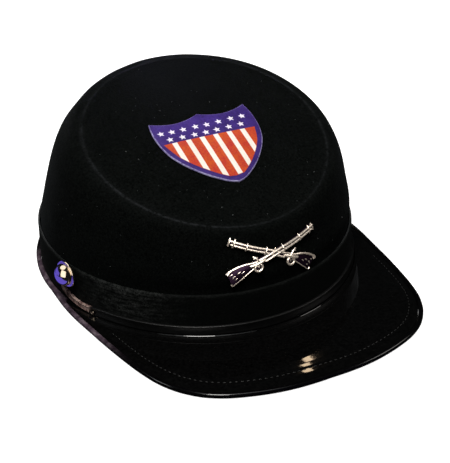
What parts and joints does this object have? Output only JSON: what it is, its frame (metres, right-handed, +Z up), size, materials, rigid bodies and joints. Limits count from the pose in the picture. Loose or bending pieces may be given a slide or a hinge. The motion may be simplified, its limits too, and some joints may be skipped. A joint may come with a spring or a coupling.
{
  "type": "kepi_cap",
  "caption": "Black felt kepi cap with forward-tilted round top, ribbon band, glossy squared visor, strap with brass buttons, stars-and-stripes shield and crossed-rifles badge",
  "frame": {"origin": "middle of the plan view of the whole cap (visor tip to back rim), on the plane that the rim rests on", "axes": "+X to the wearer's left, +Y to the back (the visor points to -Y), +Z up"},
  "size_m": [0.1959, 0.2525, 0.1014],
  "materials": {
    "black_felt": "matte moulded wool felt",
    "black_ribbon": "flat woven band with a slight sheen",
    "black_patent": "glossy patent",
    "bound_edge": "glossy rolled binding",
    "strap_patent": "glossy patent, tan side",
    "brass": "polished, domed",
    "gilt_badge": "bright gilt stamping, dark in the recesses",
    "shield_print": "printed, satin"
  },
  "bodies": {
    "root": {"crown": "black_felt", "base_band": "black_ribbon", "visor": "black_patent", "edge_binding": "bound_edge", "chin_strap": "strap_patent", "strap_slide": "brass", "side_button_r": "brass", "side_button_l": "brass", "shield_emblem": "shield_print", "rifles_badge": "gilt_badge"}
  },
  "joints": []
}
